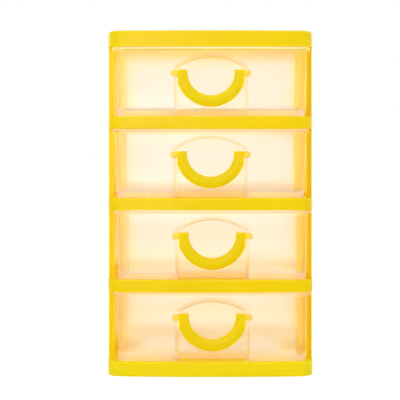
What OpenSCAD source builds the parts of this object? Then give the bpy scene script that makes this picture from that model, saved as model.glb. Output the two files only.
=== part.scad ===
// Desktop mini drawers: four moulded frames stacked under a top cover. Each frame
// carries a frosted drawer, and each drawer has a half-ring handle hinged in a recess.
// X runs to the right, Y from the front to the back, Z up. The origin is under the middle.

/* [Cabinet] */
// Width across the rails
case_w = 111.2; // [106:0.2:130]
// Depth from the front of the rails to the back
case_d = 90; // [84:0.5:120]
// How far the middle of a rail bows forward of its ends
front_bow = 2.4; // [1.6:0.1:4]
// Radius of the front corners, seen from above
corner_r = 8; // [6.5:0.5:10]
// Radius of the back corners, seen from above
back_r = 4.5; // [4:0.5:8]
// Thickness of the rails
rail_t = 1.5; // [1.4:0.1:2]
// Thickness of the side walls
wall_t = 1.2; // [1.1:0.1:1.5]
// How far the side walls stand in from the rails
wall_inset = 0.35; // [0.2:0.05:0.45]
// How far the posts along the front edges of the side walls stand behind the front
post_set = 9; // [8.5:0.5:12]
// Width of the posts, seen from the front
post_w = 3; // [2.4:0.1:3.6]
// Thickness of the posts, front to back
post_t = 2; // [1.2:0.1:3]
// Width of the side walls' return around the back corners
back_return = 3.6; // [3.2:0.2:6]

/* [Heights] */
// Height of the lowest rail
base_h = 7.6; // [6.4:0.2:12]
// Height of each rail between two drawers
rail_h = 6.4; // [6.4:0.2:10]
// Height of the opening that each drawer fills
opening_h = 37.6; // [34:0.2:50]
// Height of the top cover
cover_h = 8.7; // [7:0.1:14]
// Height of the shelf above the rail's top edge
lip_h = 3.2; // [2:0.1:4]

/* [Frame details] */
// Thickness of the shelf, of the rail's top edge and of the cover's top
plate_t = 1.5; // [1.2:0.1:2]
// Radius of the cover's top edge
cover_edge_r = 1.8; // [1:0.1:2.4]
// Width of the shelf beside its window
shelf_side = 8; // [6:0.5:16]
// Width of the shelf behind the handle recess and along the back
shelf_end = 6; // [5:0.5:14]
// Thickness of the tongues on top of the side walls
tongue_t = 0.75; // [0.6:0.05:0.8]
// Length of each tongue
tongue_l = 12; // [8:0.5:16]
// Height of each tongue
tongue_h = 3; // [2:0.1:3.6]
// Distance of the tongues from the ends of the side walls
tongue_end = 4; // [3:0.5:10]
// Thickness of the walls around each tongue's socket
socket_t = 1; // [0.8:0.1:1.4]

/* [Drawer] */
// Thickness of the drawer's walls and floor
tub_t = 1.3; // [1.2:0.1:1.4]
// How far the drawer's front stands behind the rails
panel_set = 1.5; // [1.3:0.1:2]
// How much the drawer narrows on each side from its top to its bottom
draft = 1; // [0.4:0.1:1.2]
// How far the drawer's front reaches past its sides, before the posts
front_side = 0.9; // [0.4:0.1:1.2]
// Radius of the drawer's front corners
tub_r = 5; // [4.5:0.5:6]
// Radius of the drawer's back corners
tub_back_r = 4; // [3.5:0.5:6]
// Space behind the drawer, to the back of the cabinet
tub_back_gap = 4; // [3:0.5:8]
// Height of the brow along the top of the drawer's front
brow_h = 1.7; // [1.2:0.1:2.4]
// How far the brow stands out of the front
brow_out = 0.8; // [0.5:0.1:1]
// How far the brow reaches past the drawer's sides, before the posts
brow_side = 2.6; // [2:0.1:3]
// How far each drawer sits to the right in its frame, from the top drawer down
drawer_side = [0.4, 0.1, 1.1, 1.1]; // [-1.2:0.1:1.2]

/* [Handle recess] */
// Width of the recess
recess_w = 37; // [34:0.5:40]
// Depth of the recess behind the drawer's front
recess_d = 8; // [7.6:0.1:10]
// Height of the recess's arched ceiling above the hinge line, at the middle
arch_rise = 8.8; // [8.7:0.1:10]
// Radius of the arched ceiling
arch_r = 32; // [32:1:40]
// Depth of the hinge line below the top of the opening
pin_drop = 14.2; // [13.5:0.1:16]
// Distance of the hinge line behind the drawer's front
pin_back = 4.5; // [4.2:0.1:4.8]

/* [Handle] */
// Width of the ring's section
ring_w = 6.2; // [5.2:0.1:7]
// Thickness of the handle, front to back
ring_t = 4.2; // [3.6:0.1:4.2]
// How far the centre of the ring lies above the hinge line
ring_rise = 0.9; // [0.4:0.1:1.2]
// Length of the ring's straight ends above its centre
ring_end = 1; // [0.4:0.1:1.2]
// How much the ring is flattened where its ends meet the recess
ring_flat = 1; // [0.6:0.1:1.4]
// Height of the rounded crown along the handle's face
crown_h = 0.5; // [0.2:0.1:0.6]
// Width of the handle's bevelled edges
ring_bevel = 0.8; // [0.4:0.1:1]
// Radius of the hinge pins
pin_r = 1.65; // [1.4:0.05:1.7]
// How far each pin reaches past the recess's side wall
pin_past = 1.7; // [1:0.1:2.4]
// Length of the bevel at the end of each pin
pin_bevel = 0.9; // [0.4:0.1:1]

/* [Clearances] */
// Running clearance around each hinge pin
pin_gap = 0.05; // [0.02:0.01:0.09]
// Gap between the handle and each side of its recess
handle_gap = 0.5; // [0.3:0.05:0.6]
// Play between a drawer and each post, at the drawer's top
side_play = 1.4; // [1.3:0.1:2]
// Gap between a drawer's floor and the shelf under it
floor_gap = 0.1; // [0.05:0.05:0.2]
// Gap under the drawer's front
skirt_gap = 0.3; // [0.2:0.05:0.6]
// Gap above the drawer
top_gap = 0.4; // [0.3:0.05:0.8]
// Gap between the drawer's front and what it closes against
stop_gap = 0.3; // [0.2:0.05:0.6]
// Gap around each tongue in its socket
tongue_gap = 0.1; // [0.05:0.05:0.1]

/* [Hidden] */

$fn = 64;
LEVELS = 4;
CORNER_STEPS = 8;
BOW_STEPS = 14;
EDGE_STEPS = 4;
CROWN_STEPS = 8;
OVERLAP = 0.5;
FAR = 200;

YELLOW = [0.94, 0.82, 0.1];
FROSTED = [0.98, 0.93, 0.8, 0.6];

half_w = case_w / 2;
half_d = case_d / 2;
pitch = opening_h + rail_h;
cover_z = base_h + LEVELS * pitch - rail_h;
case_h = cover_z + cover_h;

// The front of every piece follows one circle, whose centre lies far behind the cabinet.
bow_r = (half_w * half_w + front_bow * front_bow) / (2 * front_bow);
bow_y = bow_r - half_d;

wall_in = half_w - wall_inset - wall_t;
post_y = post_set - half_d;
post_in = half_w - wall_inset - post_w;
tongue_y = [post_y + tongue_end + tongue_l / 2, half_d - back_r - tongue_end - tongue_l / 2];

tub_half = post_in - side_play;
tub_back = half_d - tub_back_gap;
tub_bottom = skirt_gap;
tub_floor = lip_h + floor_gap;
tub_top = opening_h - top_gap;
brow_half = tub_half + brow_side;

face_y = panel_set - half_d;
recess_half = recess_w / 2;
recess_y = face_y + recess_d;
pin_y = face_y + pin_back;
pin_z = opening_h - pin_drop;
arch_z = pin_z + arch_rise - arch_r;

// The raised shelf clears the drawer's skirt, however far to the side the drawer sits.
shelf_half = tub_half - draft - tub_t - side_play;
shelf_set = panel_set + draft + tub_t + stop_gap;
notch_half = recess_half + tub_t + side_play;
notch_y = recess_y + tub_t + stop_gap;

handle_half = recess_half - handle_gap;
ring_out = handle_half + ring_flat;
ring_in = ring_out - ring_w;
crown_half = ring_w / 2 - ring_bevel;
crown_r = (crown_half * crown_half + crown_h * crown_h) / (2 * crown_h);
pin_end = recess_half + tub_t + pin_past;

// Height of the rail's top edge under drawer n, and of that rail.
function ledge_z(n) = base_h + (LEVELS - n) * pitch;
function rail_of(n) = n == LEVELS ? base_h : rail_h;

function arc(x, y, r, from, to, steps) =
    [for (i = [0:steps]) let(a = from + (to - from) * i / steps) [x + r * cos(a), y + r * sin(a)]];

// A plan outline with a bowed front: its half width, the setback of its front, the
// radius of its front corners, its back edge and the radius of its back corners.
function plan(half, set, front_r, back, rear_r) =
    let(x = half - front_r,
        y = bow_y - sqrt(pow(bow_r - set - front_r, 2) - x * x),
        turn = atan2(y - bow_y, x),
        bow = arc(0, bow_y, bow_r - set, -180 - turn, turn, BOW_STEPS))
    concat(
        [for (i = [1:BOW_STEPS - 1]) bow[i]],
        arc(x, y, front_r, turn, 0, CORNER_STEPS),
        arc(half - rear_r, back - rear_r, rear_r, 0, 90, CORNER_STEPS),
        arc(rear_r - half, back - rear_r, rear_r, 90, 180, CORNER_STEPS),
        arc(-x, y, front_r, 180, 180 - turn, CORNER_STEPS));

// The cabinet's outline, the shelf's, the drawer's and its front's, each drawn in by t.
function case_plan(t) = plan(half_w - t, t, corner_r - t, half_d - t, back_r - t);
function shelf_plan(t) =
    plan(shelf_half - t, shelf_set + t, tub_r - t, half_d - wall_inset - t, back_r - wall_inset - t);
function tub_plan(t) = plan(tub_half - t, panel_set + t, tub_r - t, tub_back - t, tub_back_r - t);
function front_plan(t) =
    plan(tub_half + front_side - t, panel_set + t, tub_r - t, tub_back - t, tub_back_r - t);

// How far the drawer has narrowed at a height above the rail.
function draft_at(z) = draft * (tub_top - z) / (tub_top - tub_bottom);

module slab(outline, low, high) {
    translate([0, 0, low]) linear_extrude(high - low) polygon(outline);
}

// A block between two corners.
module block(low, high) {
    translate(low) cube(high - low);
}

// A closed skin over outlines that lie one above the other, as [outline, height] pairs.
module skin(rings) {
    n = len(rings[0][0]);
    last = len(rings) - 1;
    polyhedron(
        points = [for (ring = rings) for (p = ring[0]) [p.x, p.y, ring[1]]],
        faces = concat(
            [[for (i = [0:n - 1]) i]],
            [[for (i = [0:n - 1]) last * n + n - 1 - i]],
            [for (k = [0:last - 1]) for (i = [0:n - 1])
                [k * n + i, (k + 1) * n + i, (k + 1) * n + (i + 1) % n, k * n + (i + 1) % n]]));
}

// The drawer's outer form, drawn in by t, between two heights.
module tub_form(t, low, high) {
    skin([[tub_plan(t + draft_at(low)), low], [tub_plan(t + draft_at(high)), high]]);
}

// The sockets under a rail or the cover, from height z up to height roof.
module sockets(z, roof) {
    reach = tongue_l / 2 + tongue_gap + socket_t;
    for (side = [-1, 1], y = tongue_y)
        scale([side, 1, 1])
            block([wall_in - tongue_gap - socket_t, y - reach, z + OVERLAP],
                [half_w - rail_t / 2, y + reach, roof]);
}

// What the tongues need: their own size, and with a gap all round as a cutter.
module tongues(z, gap) {
    for (side = [-1, 1], y = tongue_y)
        scale([side, 1, 1])
            block([wall_in - gap, y - tongue_l / 2 - gap, z - OVERLAP],
                [wall_in + tongue_t + gap, y + tongue_l / 2 + gap, z + tongue_h + gap]);
}

// The two side walls, which return around the back corners, and the posts at their fronts.
module side_walls(low, high) {
    difference() {
        slab(case_plan(wall_inset), low, high);
        slab(case_plan(wall_inset + wall_t), low - OVERLAP, high + OVERLAP);
        block([-FAR, -FAR, low - OVERLAP], [FAR, post_y, high + OVERLAP]);
        block([back_return - half_w, 0, low - OVERLAP], [half_w - back_return, FAR, high + OVERLAP]);
    }
    for (side = [-1, 1])
        scale([side, 1, 1])
            block([post_in, post_y, low], [half_w - wall_inset - wall_t / 2, post_y + post_t, high]);
}

// The hole in the shelf's front for the drawer's recess, drawn out by t.
module notch(t, low, high) {
    block([-notch_half - t, -FAR, low], [notch_half + t, notch_y + t, high]);
}

module shelf(ledge) {
    top = ledge + lip_h;
    difference() {
        slab(shelf_plan(0), ledge - OVERLAP, top);
        notch(0, ledge - 2 * OVERLAP, top + OVERLAP);
    }
}

module shelf_hollow(ledge) {
    low = ledge - plate_t - OVERLAP;
    high = ledge + lip_h - plate_t;
    difference() {
        slab(shelf_plan(wall_t), low, high);
        notch(wall_t, low - OVERLAP, high + OVERLAP);
    }
}

module tier(n) {
    ledge = ledge_z(n);
    bottom = ledge - rail_of(n);
    top = ledge + opening_h;
    color(YELLOW) difference() {
        union() {
            difference() {
                slab(case_plan(0), bottom, ledge);
                slab(case_plan(rail_t), bottom - OVERLAP, ledge - plate_t);
            }
            shelf(ledge);
            side_walls(ledge - OVERLAP, top);
            tongues(top, 0);
            if (n < LEVELS) sockets(bottom, ledge - plate_t + OVERLAP);
        }
        shelf_hollow(ledge);
        block([shelf_side - shelf_half, notch_y + shelf_end, ledge],
            [shelf_half - shelf_side, half_d - wall_inset - shelf_end, ledge + lip_h + OVERLAP]);
        if (n < LEVELS) tongues(bottom, tongue_gap);
    }
}

module top_cover() {
    edge_z = case_h - cover_edge_r;
    color(YELLOW) difference() {
        union() {
            difference() {
                skin(concat([[case_plan(0), cover_z]],
                    [for (i = [0:EDGE_STEPS]) let(a = 90 * i / EDGE_STEPS)
                        [case_plan(cover_edge_r * (1 - cos(a))), edge_z + cover_edge_r * sin(a)]]));
                slab(case_plan(rail_t), cover_z - OVERLAP, case_h - plate_t);
            }
            sockets(cover_z, case_h - plate_t + OVERLAP);
        }
        tongues(cover_z, tongue_gap);
    }
}

// The arched opening of the recess, seen from the front and drawn out by t.
module recess_shape(t) {
    intersection() {
        translate([-recess_half - t, -OVERLAP]) square([recess_w + 2 * t, FAR]);
        translate([0, arch_z]) circle(arch_r + t, $fn = 256);
    }
}

// The recess from before the drawer's front to its back, drawn out by t.
module recess(t) {
    translate([0, recess_y + t, 0]) rotate([90, 0, 0]) linear_extrude(FAR) recess_shape(t);
}

module pin_bores() {
    reach = recess_half + tub_t + OVERLAP;
    translate([-reach, pin_y, pin_z]) rotate([0, 90, 0]) cylinder(h = 2 * reach, r = pin_r + pin_gap);
}

// The part of a drawer's form that stands before the posts.
module before_posts() {
    difference() {
        children();
        block([-FAR, post_y - stop_gap, 0], [FAR, FAR, tub_top + OVERLAP]);
    }
}

// The brow along the top of the front.
module brow() {
    before_posts()
        slab(plan(brow_half, panel_set - brow_out, tub_r + brow_out, tub_back, tub_back_r),
            tub_top - brow_h, tub_top);
}

// The front's outer form, which is a little wider than the drawer behind it.
module front_form() {
    before_posts()
        skin([[front_plan(draft_at(tub_bottom)), tub_bottom], [front_plan(0), tub_top]]);
}

// What is hollow in a drawer: its inside, and the space behind its skirt.
module tub_hollows() {
    tub_form(tub_t, tub_floor + tub_t, tub_top + OVERLAP);
    tub_form(tub_t, tub_bottom - OVERLAP, tub_floor);
    block([-FAR, face_y + tub_r, tub_bottom - OVERLAP], [FAR, FAR, tub_floor]);
}

module drawer(n) {
    color(FROSTED) translate([drawer_side[n - 1], 0, ledge_z(n)]) difference() {
        union() {
            tub_form(0, tub_bottom, tub_top);
            front_form();
            brow();
        }
        difference() {
            tub_hollows();
            recess(tub_t);
        }
        recess(0);
        pin_bores();
    }
}

// The ring's section, as distance from its centre and depth from front to back.
module ring_section() {
    edge = ring_t / 2;
    middle = ring_out - ring_w / 2;
    turn = asin(crown_half / crown_r);
    polygon(concat(
        [[ring_in, ring_bevel - edge]],
        arc(middle, crown_r - crown_h - edge, crown_r, -90 - turn, turn - 90, CROWN_STEPS),
        [[ring_out, ring_bevel - edge],
            [ring_out, edge - ring_bevel], [ring_out - ring_bevel, edge],
            [ring_in + ring_bevel, edge], [ring_in, edge - ring_bevel]]));
}

module hinge_pin() {
    rotate([0, 90, 0]) {
        translate([0, 0, handle_half - OVERLAP])
            cylinder(h = pin_end - pin_bevel - handle_half + OVERLAP, r = pin_r);
        translate([0, 0, pin_end - pin_bevel])
            cylinder(h = pin_bevel, r1 = pin_r, r2 = pin_r - pin_bevel);
    }
}

module handle(n) {
    color(YELLOW) translate([drawer_side[n - 1], pin_y, ledge_z(n) + pin_z]) {
        intersection() {
            translate([0, 0, ring_rise]) {
                rotate([-90, 0, 0]) rotate_extrude(angle = 180) ring_section();
                linear_extrude(ring_end) {
                    ring_section();
                    mirror([1, 0]) ring_section();
                }
            }
            block([-handle_half, -FAR, -FAR], [handle_half, FAR, FAR]);
        }
        hinge_pin();
        mirror([1, 0, 0]) hinge_pin();
    }
}

top_cover();
tier(1);  // tier_1
tier(2);  // tier_2
tier(3);  // tier_3
tier(4);  // tier_4
drawer(1);  // drawer_1
drawer(2);  // drawer_2
drawer(3);  // drawer_3
drawer(4);  // drawer_4
handle(1);  // handle_1
handle(2);  // handle_2
handle(3);  // handle_3
handle(4);  // handle_4
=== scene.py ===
"""Looks of the desktop mini drawers: materials, soft edges, studio and camera.

The scene is in metres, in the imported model's own frame: X to the right, Y to the back, Z up.
Sizes and places on the part itself are named in millimetres.
"""
import math

import bpy
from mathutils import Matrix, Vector


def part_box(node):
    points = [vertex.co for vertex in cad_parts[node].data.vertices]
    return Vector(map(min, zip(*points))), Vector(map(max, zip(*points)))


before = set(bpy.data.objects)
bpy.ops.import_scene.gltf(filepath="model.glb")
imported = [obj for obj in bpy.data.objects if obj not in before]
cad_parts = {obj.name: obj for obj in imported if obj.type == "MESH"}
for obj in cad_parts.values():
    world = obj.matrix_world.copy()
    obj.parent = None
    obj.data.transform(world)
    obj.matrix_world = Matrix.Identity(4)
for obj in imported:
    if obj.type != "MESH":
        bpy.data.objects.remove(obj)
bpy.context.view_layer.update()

MM = 0.001
LEVELS = range(1, 5)
TIERS = ["tier_%d" % level for level in LEVELS]
HANDLES = ["handle_%d" % level for level in LEVELS]

# The camera looks level from the front. The picture's side and the place where the camera's
# axis meets the picture are in pixels.
IMAGE_SIDE = 400
AXIS_PIXEL = (210.3, 146.0)
FIELD_OF_VIEW = math.radians(21.27)
CAMERA_PLACE = (0, -0.615, 0.1237)

# Each lamp's place, width and height in metres and its power in watts, and the place that
# all of them face.
LAMPS = {
    "key": ((-0.26, -1.1, 0.2), 0.22, 0.8, 3.25),
    "right": ((0.9, -0.9, 0.2), 0.7, 0.7, 0.5),
    "left_back": ((-0.8, 0.8, 0.25), 0.7, 0.7, 2.6),
    "right_back": ((0.8, 0.8, 0.25), 0.7, 0.7, 2.6),
    "top": ((0, -0.3, 1.3), 0.8, 0.8, 3),
}
LAMPS_FACE = (0, 0, 0.09)

# The white surroundings' strength where they show, and where they light the object.
SHOWN_WHITE = 1
AMBIENT = 0.62

# Half the floor's side in metres, its grey as the object is lit by it, and the grey and the
# glow that together show as white where no shadow falls.
FLOOR_REACH = 3
FLOOR_LIT = 0.95
FLOOR_SHOWN = 0.25
FLOOR_GLOW = 0.88

# sRGB colours, 0 to 255. Light passes the frosted plastic's surfaces more than once, and is tinted each
# time, so the tints for it are pale. Most of the frosted plastic's tints are painted light and shade.
YELLOW = (238, 216, 6)
YELLOW_PALE = (239, 218, 12)
YELLOW_DEEP = (237, 213, 3)
# Painted shade for the right-hand posts, and painted light from the floor for the lowest rail.
POST_SHADE_TINT = (227, 196, 4)
BASE_BOUNCE_TINT = (241, 224, 18)
CREAM = (255, 247, 244)
PALE_CREAM = (255, 251, 248)
WARM_CREAM = (255, 243, 237)
PEACH = (255, 243, 229)
WARM_PEACH = (254, 236, 216)
HONEY = (255, 243, 190)
PALE_HONEY = (255, 255, 238)
# Painted shade for the front's right-hand band.
RIGHT_BAND_SHADE = (252, 234, 168)
SKIRT_COOL_TINT = (250, 242, 255)
UNDER_BROW_SHADE = (228, 241, 90)
# Painted highlight for the brow of the lower drawers.
BROW = (252, 233, 203)
TAN = (254, 245, 226)
SIDE_TAN = (254, 238, 226)
PIN_SHADE = (241, 237, 174)
CLEAR = (255, 255, 253)
RIGHT_SHADE_TINT = (255, 246, 240)
FROST_SHADOW = (255, 250, 238)

# Linear tints of the shadows that the yellow plastic casts.
YELLOW_SHADOW = (0.95, 0.84, 0.12, 1)
COVER_SHADOW = (0.99, 0.95, 0.5, 1)

# What the frosted plastic does to light on its way through: a linear colour, and how
# strongly it takes effect for each metre.
DEPTH_TINT = (0.99, 0.89, 0.58, 1)
DEPTH_DENSITY = 0.05 / MM

# How many turns a ray takes inside the plastic before it is let out.
LONGEST_PATH = 5.5

# The middle range of a noise, where most of its values lie.
NOISE_LOW = 0.3
NOISE_HIGH = 0.7

# Noise scales, per metre: clouds of colour, and changes of gloss.
YELLOW_CLOUDS = 22
YELLOW_GLOSS = 90
FROST_CLOUDS = 30
FROST_GLOSS = 120

# The moulded grain: noise scale per metre, strength, and depth in millimetres.
YELLOW_GRAIN = (2600, 0.12, 0.05)
FROST_GRAIN = (2200, 0.05, 0.04)

YELLOW_ROUGHNESS = (0.28, 0.36)
FROST_ROUGHNESS = (0.6, 0.7)

# How much cream, against peach, there is in the clouds, and how clear the frosted plastic
# is at most and at least.
CREAM_SHARE = (0.9, 1)
CLEAREST = 0.9
HAZIEST = 0.5

# The soft edges: their widths, their steps, the smallest bend that is rounded, and how close
# two points lie that are joined into one.
YELLOW_EDGE = 0.4
FROST_EDGE = 0.3
EDGE_STEPS = 2
EDGE_ANGLE = math.radians(32)
WELD_REACH = 0.002

# Over what width one tint goes over into the next, in general and where it is sharp.
SOFT = 0.4
SHARP = 0.2

# The right-hand posts, which get painted shade, as middle and reach in X and in Y, and the lowest rail's
# top with the width over which its painted light ends.
POST_ACROSS = (53, 1.9)
POST_ALONG = (-35.5, 1.6)
BASE_TOP = (8, 2)

# From and to, on the way to the front: where the front wall begins, and where the walls of
# the recess in it begin.
FRONT_WALL = (-37, -38)
RECESS_BACK = (-33.5, -34)

# How the frosted plastic's painted light changes, from and to: warmer down the tower, as painted yellow
# bounce light, and deeper, as painted shade, up and to the right on the upper drawers.
WARMER_DOWN = (120, 20)
DEEPER_UP = (55, 110)
DEEPER_RIGHT = (-5, 45)

# How high a drawer's skirt stands above its ledge. All heights from here on are above the
# ledge, and all places across are off the drawer's middle.
SKIRT_GAP = 0.3

# For each drawer: where the warm tone fades towards the floor, and the painted light at the floor, at the
# top of the panel and on the brow. Near the floor it lifts the shade; at the top of the top drawer it
# paints the yellow light from the cover; on the brow it paints a highlight.
WARM_FADES = {1: (16, 6), 2: (16, 6), 3: (16, 11), 4: (20, 12)}
FLOOR_FADE = (10, 7)
FLOOR_LIGHT_TINTS = {1: PALE_CREAM, 2: PALE_CREAM, 3: CLEAR, 4: PALE_CREAM}
TOP_FADE = (28, 34)
TOP_LIGHT_TINTS = {1: PALE_HONEY, 2: CLEAR, 3: PALE_CREAM, 4: WARM_CREAM}
BROW_LIGHT_TINTS = {1: CLEAR, 2: BROW, 3: BROW, 4: BROW}

# The walls of the handle recess: the middle and top of the side walls, the arched ceiling's
# centre, its middle radius, its outer end and its foot above that centre, and how far a wall
# reaches to either side of its middle.
RECESS_SIDE = 19.15
RECESS_SIDE_TOP = 26.4
ARCH_CENTRE = 0.2
ARCH_RADIUS = 32.65
ARCH_END = 19.85
ARCH_FOOT = 20.1
WALL_REACH = 0.8

# The pins beside the recess, which are painted on behind the front as a deeper shade, as middle and reach
# across and up.
PIN_ACROSS = (20.3, 1.3)
PIN_UP = (23.4, 1.6)

# Heights on a drawer's front: the skirt's top, the brow's foot and face, and the thin line of painted
# shade under the top drawer's brow, as middle and reach.
SKIRT_TOP = 3.6
BROW_FOOT = 34.9
BROW_FACE = 35.8
BROW_LINE = (36.1, 0.3)

# The front's thick sides: where a tint begins, and over what width. The first two paint the yellow light
# of the walls beside the drawer; the last is on the right and paints shade.
SIDE_BAND = (44.8, 0.4)
SIDE_EDGE = (48, 4)
RIGHT_BAND = (45.3, 1.4)

# The hazier places: a strip at the edge of the floor behind the front, as middle and reach,
# the top of the brow and the skirt, as limit and width, and the skirt's share of the haze.
HAZY_STRIP = (4.1, 0.6)
HAZY_BROW = (36.45, 0.3)
HAZY_SKIRT = (4.6, 0.2)
SKIRT_SHARE = 0.2

# The sockets of a colour Mix node.
MIX_FACTOR = 0
MIX_COLOUR = 6
MIX_TINT = 7
MIX_RESULT = 2


def linear(colour):
    """Blender's linear colour for an sRGB colour of 0 to 255."""
    def channel(value):
        share = value / 255
        if share <= 0.04045:
            return share / 12.92
        return ((share + 0.055) / 1.055) ** 2.4
    return [channel(value) for value in colour] + [1]


def grey(value):
    """A linear grey of 0 to 1."""
    return (value, value, value, 1)


def add(tree, kind, inputs=None, **settings):
    """A new shader node with its settings, and its inputs as numbers or links."""
    node = tree.nodes.new("ShaderNode" + kind)
    for name, value in settings.items():
        setattr(node, name, value)
    for name, value in (inputs or {}).items():
        if isinstance(value, bpy.types.NodeSocket):
            tree.links.new(value, node.inputs[name])
        else:
            node.inputs[name].default_value = value
    return node


def blank_material(name):
    """A material with an empty node tree."""
    material = bpy.data.materials.new(name)
    material.use_nodes = True
    material.node_tree.nodes.clear()
    return material, material.node_tree


def calculate(tree, operation, *values):
    """The result of a Math node on up to three numbers or links."""
    return add(tree, "Math", dict(enumerate(values)), operation=operation).outputs[0]


def both(tree, first, second):
    """1 where both factors are 1."""
    return calculate(tree, "MULTIPLY", first, second)


def either(tree, first, second):
    """The larger of two factors."""
    return calculate(tree, "MAXIMUM", first, second)


def near(tree, value, middle, reach):
    """1 where a value lies within reach of middle, both in millimetres."""
    return calculate(tree, "COMPARE", value, middle * MM, reach * MM)


def smooth_step(tree, value, start, end):
    """0 at start and 1 at end, both in millimetres, with a soft change between."""
    return add(tree, "MapRange", {
        "Value": value, "From Min": start * MM, "From Max": end * MM,
    }, interpolation_type="SMOOTHSTEP").outputs["Result"]


def above(tree, value, limit, width=SOFT):
    """1 above a limit, which is soft over a width, both in millimetres."""
    return smooth_step(tree, value, limit - width / 2, limit + width / 2)


def below(tree, value, limit, width=SOFT):
    """1 below a limit, which is soft over a width, both in millimetres."""
    return smooth_step(tree, value, limit + width / 2, limit - width / 2)


def noise(tree, place, scale, detail=3):
    """Smooth noise of a scale per metre."""
    return add(tree, "TexNoise", {"Vector": place, "Scale": scale, "Detail": detail}).outputs["Fac"]


def spread(tree, factor, low, high):
    """Maps a noise's middle range to low..high."""
    return add(tree, "MapRange", {
        "Value": factor, "From Min": NOISE_LOW, "From Max": NOISE_HIGH, "To Min": low, "To Max": high,
    }).outputs["Result"]


def grain(tree, place, scale, strength, depth):
    """The normal of a fine moulded grain, with its depth in millimetres."""
    height = noise(tree, place, scale, detail=2)
    bump = add(tree, "Bump", {"Height": height, "Strength": strength, "Distance": depth * MM})
    return bump.outputs["Normal"]


def ramp(tree, factor, stops):
    """A colour ramp of (position, sRGB colour) stops."""
    node = add(tree, "ValToRGB", {"Fac": factor})
    elements = node.color_ramp.elements
    while len(elements) < len(stops):
        elements.new(1)
    for element, (position, colour) in zip(elements, stops):
        element.position = position
        element.color = linear(colour)
    return node.outputs["Color"]


def blend(tree, factor, colour, tint):
    """Mixes a tint, an sRGB colour, over a colour by a factor."""
    inputs = {MIX_FACTOR: factor, MIX_COLOUR: colour, MIX_TINT: linear(tint)}
    return add(tree, "Mix", inputs, data_type="RGBA").outputs[MIX_RESULT]


def mix_shaders(tree, factor, first, second):
    """A mix that is the first shader node at factor 0 and the second at 1."""
    return add(tree, "MixShader", {0: factor, 1: first.outputs[0], 2: second.outputs[0]})


def let_lamps_through(tree, shader, tint):
    """Makes thin plastic cast a tinted shadow instead of a dark one.

    It also lets rays out that are still caught inside a clear wall after several turns.
    """
    path = add(tree, "LightPath")
    caught = calculate(tree, "GREATER_THAN", path.outputs["Ray Depth"], LONGEST_PATH)
    passing = either(tree, path.outputs["Is Shadow Ray"], caught)
    return mix_shaders(tree, passing, shader, add(tree, "BsdfTransparent", {"Color": tint}))


def yellow_plastic(name, shadow):
    """Yellow plastic that lets a little light in, as thin mouldings do, and tints its shadow. It has
    painted shade on the right-hand posts and painted light on the lowest rail.
    """
    material, tree = blank_material(name)
    place = add(tree, "TexCoord").outputs["Object"]
    axes = add(tree, "SeparateXYZ", {"Vector": place})
    middle = (NOISE_LOW + NOISE_HIGH) / 2
    colour = ramp(tree, noise(tree, place, YELLOW_CLOUDS), [
        (NOISE_LOW, YELLOW_DEEP), (middle, YELLOW), (NOISE_HIGH, YELLOW_PALE)])
    # Painted shade on the right-hand posts.
    right_post_shade = both(tree, near(tree, axes.outputs["X"], *POST_ACROSS),
                       near(tree, axes.outputs["Y"], *POST_ALONG))
    colour = blend(tree, right_post_shade, colour, POST_SHADE_TINT)
    # Painted light from the floor on the lowest rail.
    colour = blend(tree, below(tree, axes.outputs["Z"], *BASE_TOP), colour, BASE_BOUNCE_TINT)
    plastic = add(tree, "BsdfPrincipled", {
        "Base Color": colour,
        "Roughness": spread(tree, noise(tree, place, YELLOW_GLOSS), *YELLOW_ROUGHNESS),
        "Normal": grain(tree, place, *YELLOW_GRAIN),
        "IOR": 1.46,
        "Specular IOR Level": 0.15,
        "Subsurface Weight": 1,
        "Subsurface Radius": (1, 0.85, 0.2),
        "Subsurface Scale": 2 * MM,
    })
    surface = let_lamps_through(tree, plastic, shadow)
    add(tree, "OutputMaterial", {"Surface": surface.outputs[0]})
    return material


def recess_walls(tree, off_middle, height):
    """1 on the side walls and the arched ceiling of the handle recess."""
    sides = both(tree, near(tree, off_middle, RECESS_SIDE, WALL_REACH),
                 below(tree, height, RECESS_SIDE_TOP, SHARP))
    rise = calculate(tree, "SUBTRACT", height, ARCH_CENTRE * MM)
    spot = add(tree, "CombineXYZ", {"X": off_middle, "Y": rise}).outputs[0]
    radius = add(tree, "VectorMath", {0: spot}, operation="LENGTH").outputs["Value"]
    ends = both(tree, below(tree, off_middle, ARCH_END, SHARP), above(tree, rise, ARCH_FOOT, SHARP))
    arch = both(tree, near(tree, radius, ARCH_RADIUS, WALL_REACH), ends)
    return either(tree, sides, arch)


def panel_painted_light(tree, place, sideways, up, height, level):
    """Clouds of cream and peach with painted light over them: warmer low down in the tower, paler near
    the floor and tinted at the top, and painted shade high on the right.
    """
    clouds = spread(tree, noise(tree, place, FROST_CLOUDS), *CREAM_SHARE)
    colour = ramp(tree, clouds, [(0, PEACH), (1, CREAM)])
    # Painted yellow bounce light, warmer low down in the tower.
    colour = blend(tree, smooth_step(tree, up, *WARMER_DOWN), colour, WARM_PEACH)
    # Painted light: paler near the floor, where it lifts the shade, and tinted at the top of the panel.
    for fade, tint in [
            (WARM_FADES[level], CLEAR), (FLOOR_FADE, FLOOR_LIGHT_TINTS[level]), (TOP_FADE, TOP_LIGHT_TINTS[level])]:
        colour = blend(tree, smooth_step(tree, height, *fade), colour, tint)
    # Painted shade high on the right of the upper drawers.
    shade_high_right = both(tree, smooth_step(tree, sideways, *DEEPER_RIGHT), smooth_step(tree, up, *DEEPER_UP))
    return blend(tree, shade_high_right, colour, RIGHT_SHADE_TINT)


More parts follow.
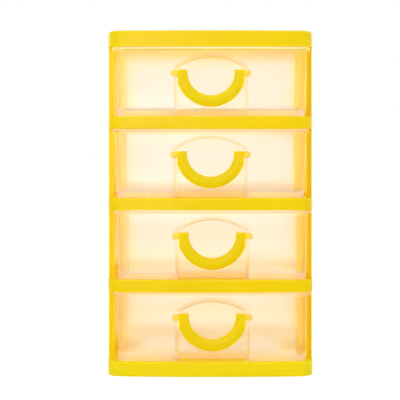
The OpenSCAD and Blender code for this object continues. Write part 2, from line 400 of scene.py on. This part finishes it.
def edge_tint(tree, colour, in_front, sideways, off_middle, height, level):
    """Deeper tints where the plastic is seen edge on, with painted yellow light on the front's sides and
    brow, painted shade on the right band, under the top brow and over the pins, and a cool tint on the
    skirt.
    """
    colour = blend(tree, recess_walls(tree, off_middle, height), colour, TAN)
    # Painted yellow light from the walls beside the drawer on the front's sides, and painted shade on its
    # right-hand band.
    for across, band, tint in [
            (off_middle, SIDE_BAND, SIDE_TAN), (off_middle, SIDE_EDGE, HONEY),
            (sideways, RIGHT_BAND, RIGHT_BAND_SHADE)]:
        colour = blend(tree, both(tree, in_front, above(tree, across, *band)), colour, tint)
    # Painted light on the skirt: a cool pale tint that takes back some of the yellow light it shows.
    colour = blend(tree, below(tree, height, SKIRT_TOP), colour, SKIRT_COOL_TINT)
    # Painted light on the brow: a honey line at its foot and a pale highlight on its face.
    colour = blend(tree, above(tree, height, BROW_FOOT), colour, PALE_HONEY)
    colour = blend(tree, above(tree, height, BROW_FACE), colour, BROW_LIGHT_TINTS[level])
    # Painted shade where the pins stand behind the front.
    pins = both(tree, near(tree, off_middle, *PIN_ACROSS), near(tree, height, *PIN_UP))
    colour = blend(tree, both(tree, in_front, pins), colour, PIN_SHADE)
    # A thin line of painted yellow shade under the top drawer's brow.
    if level == 1:
        colour = blend(tree, both(tree, in_front, near(tree, height, *BROW_LINE)), colour, UNDER_BROW_SHADE)
    return colour


def clearness(tree, forward, height):
    """How clear the plastic is: less so in the skirt, least in a strip above it and on the brow."""
    skirt = both(tree, below(tree, height, *HAZY_SKIRT), SKIRT_SHARE)
    strips = either(tree, near(tree, height, *HAZY_STRIP), above(tree, height, *HAZY_BROW))
    haze = both(tree, smooth_step(tree, forward, *RECESS_BACK), either(tree, skirt, strips))
    return add(tree, "MapRange", {"Value": haze, "To Min": CLEAREST, "To Max": HAZIEST}).outputs["Result"]


def frosted_plastic(level):
    """A drawer's clear plastic with a light haze. Lamps reach through it to what is inside. Its tints
    carry painted light and shade.
    """
    low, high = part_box("drawer_%d" % level)
    middle = (low.x + high.x) / 2
    ledge = low.z - SKIRT_GAP * MM
    material, tree = blank_material("frosted_plastic_%d" % level)
    place = add(tree, "TexCoord").outputs["Object"]
    axes = add(tree, "SeparateXYZ", {"Vector": place})
    forward, up = axes.outputs["Y"], axes.outputs["Z"]
    sideways = calculate(tree, "SUBTRACT", axes.outputs["X"], middle)
    off_middle = calculate(tree, "ABSOLUTE", sideways)
    height = calculate(tree, "SUBTRACT", up, ledge)
    in_front = smooth_step(tree, forward, *FRONT_WALL)
    colour = panel_painted_light(tree, place, sideways, up, height, level)
    colour = edge_tint(tree, colour, in_front, sideways, off_middle, height, level)
    plastic = add(tree, "BsdfPrincipled", {
        "Base Color": colour,
        "Roughness": spread(tree, noise(tree, place, FROST_GLOSS), *FROST_ROUGHNESS),
        "Normal": grain(tree, place, *FROST_GRAIN),
        "IOR": 1.07,
        "Transmission Weight": clearness(tree, forward, height),
    })
    surface = let_lamps_through(tree, plastic, linear(FROST_SHADOW))
    depth = add(tree, "VolumeAbsorption", {"Color": DEPTH_TINT, "Density": DEPTH_DENSITY})
    add(tree, "OutputMaterial", {"Surface": surface.outputs[0], "Volume": depth.outputs[0]})
    return material


def soften(node, width):
    """Rounds the sharp edges of a CAD node by modifiers, to a width in millimetres."""
    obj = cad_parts[node]
    weld = obj.modifiers.new("weld", "WELD")
    weld.merge_threshold = WELD_REACH * MM
    bevel = obj.modifiers.new("bevel", "BEVEL")
    bevel.width = width * MM
    bevel.segments = EDGE_STEPS
    bevel.limit_method = "ANGLE"
    bevel.angle_limit = EDGE_ANGLE
    bevel.harden_normals = True
    bevel.miter_outer = "MITER_ARC"


def dress(node, material):
    """Gives a CAD node its material."""
    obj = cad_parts[node]
    obj.data.materials.clear()
    obj.data.materials.append(material)


def seen_directly(tree):
    """1 for rays that show the background itself: from the camera, or by gloss or through plastic."""
    path = add(tree, "LightPath")
    mirrored = either(tree, path.outputs["Is Camera Ray"], path.outputs["Is Glossy Ray"])
    return either(tree, mirrored, path.outputs["Is Transmission Ray"])


def build_world():
    """White surroundings, which light the object less strongly than they show."""
    world = bpy.data.worlds.new("studio")
    world.use_nodes = True
    tree = world.node_tree
    tree.nodes.clear()
    light = add(tree, "Background", {"Color": grey(1), "Strength": AMBIENT})
    shown = add(tree, "Background", {"Color": grey(1), "Strength": SHOWN_WHITE})
    surroundings = mix_shaders(tree, seen_directly(tree), light, shown)
    add(tree, "OutputWorld", {"Surface": surroundings.outputs[0]})
    bpy.context.scene.world = world


def floor_white():
    """A pale matt floor that shows as white where no shadow falls on it."""
    material, tree = blank_material("floor_white")
    light = add(tree, "BsdfDiffuse", {"Color": grey(FLOOR_LIT)})
    shaded = add(tree, "BsdfDiffuse", {"Color": grey(FLOOR_SHOWN)})
    glow = add(tree, "Emission", {"Color": grey(1), "Strength": FLOOR_GLOW})
    shown = add(tree, "AddShader", {0: shaded.outputs[0], 1: glow.outputs[0]})
    surface = mix_shaders(tree, seen_directly(tree), light, shown)
    add(tree, "OutputMaterial", {"Surface": surface.outputs[0]})
    return material


def build_floor():
    """A square floor under the object."""
    mesh = bpy.data.meshes.new("floor")
    corners = [(x * FLOOR_REACH, y * FLOOR_REACH, 0) for x, y in [(-1, -1), (1, -1), (1, 1), (-1, 1)]]
    mesh.from_pydata(corners, [], [(0, 1, 2, 3)])
    mesh.materials.append(floor_white())
    floor = bpy.data.objects.new("floor", mesh)
    bpy.context.scene.collection.objects.link(floor)


def area_lamp(name, place, width, height, watts):
    """A soft lamp that faces the middle of the object."""
    data = bpy.data.lights.new(name, "AREA")
    data.shape = "RECTANGLE"
    data.size = width
    data.size_y = height
    data.energy = watts
    lamp = bpy.data.objects.new(name, data)
    lamp.location = place
    lamp.rotation_euler = (Vector(LAMPS_FACE) - lamp.location).to_track_quat("-Z", "Y").to_euler()
    bpy.context.scene.collection.objects.link(lamp)


def build_camera():
    """A level camera in front, shifted so that the object lies where the photograph has it."""
    data = bpy.data.cameras.new("camera")
    data.angle = FIELD_OF_VIEW
    data.shift_x = 0.5 - AXIS_PIXEL[0] / IMAGE_SIDE
    data.shift_y = AXIS_PIXEL[1] / IMAGE_SIDE - 0.5
    camera = bpy.data.objects.new("camera", data)
    camera.location = CAMERA_PLACE
    camera.rotation_euler = (math.radians(90), 0, 0)
    bpy.context.scene.collection.objects.link(camera)
    bpy.context.scene.camera = camera


build_camera()
build_world()
build_floor()
for name, (place, width, height, watts) in LAMPS.items():
    area_lamp(name, place, width, height, watts)

bpy.context.scene.view_settings.view_transform = "Standard"

dress("top_cover", yellow_plastic("yellow_cover", COVER_SHADOW))
yellow = yellow_plastic("yellow_plastic", YELLOW_SHADOW)
for name in TIERS + HANDLES:
    dress(name, yellow)
for name in ["top_cover"] + TIERS + HANDLES:
    soften(name, YELLOW_EDGE)
for level in LEVELS:
    dress("drawer_%d" % level, frosted_plastic(level))
    soften("drawer_%d" % level, FROST_EDGE)
